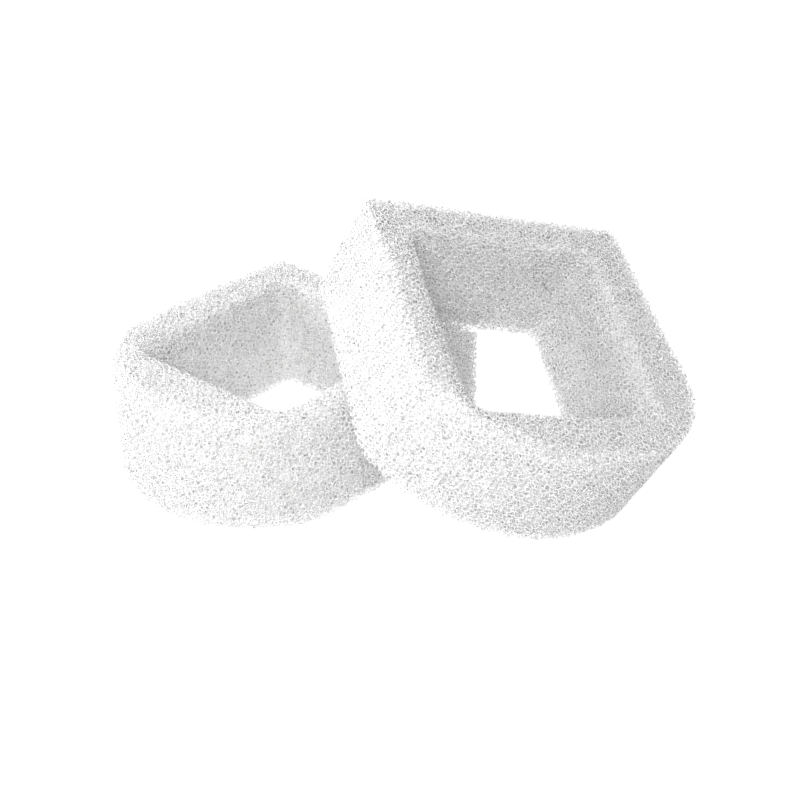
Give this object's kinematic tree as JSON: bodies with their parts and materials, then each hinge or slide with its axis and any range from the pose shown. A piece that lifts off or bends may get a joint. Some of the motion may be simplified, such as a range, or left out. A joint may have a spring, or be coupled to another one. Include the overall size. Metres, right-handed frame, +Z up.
{
  "type": "sponge filter",
  "caption": "Pair of thick open-cell foam filter rings, each straight at one end and round at the other, with a large pump hole; one lies flat and the other leans on it.",
  "frame": {"origin": "middle of the pair's bounding box, on the surface that both sponges stand on", "axes": "+Z up, +X towards the leaning sponge, -Y towards the viewer's side where both holes open"},
  "size_m": [0.1524, 0.1236, 0.0779],
  "materials": {
    "flat_foam": "white open-cell polyurethane foam, fully matte",
    "leaning_foam": "white open-cell polyurethane foam, fully matte"
  },
  "bodies": {
    "flat_body": {"flat_sponge": "flat_foam"},
    "leaning_body": {"leaning_sponge": "leaning_foam"}
  },
  "joints": [
    {"name": "leaning_sponge_lift", "type": "slide", "parent": "flat_body", "child": "leaning_body", "axis": [0, 0, 1], "range_m": [0, 0.08]}
  ]
}
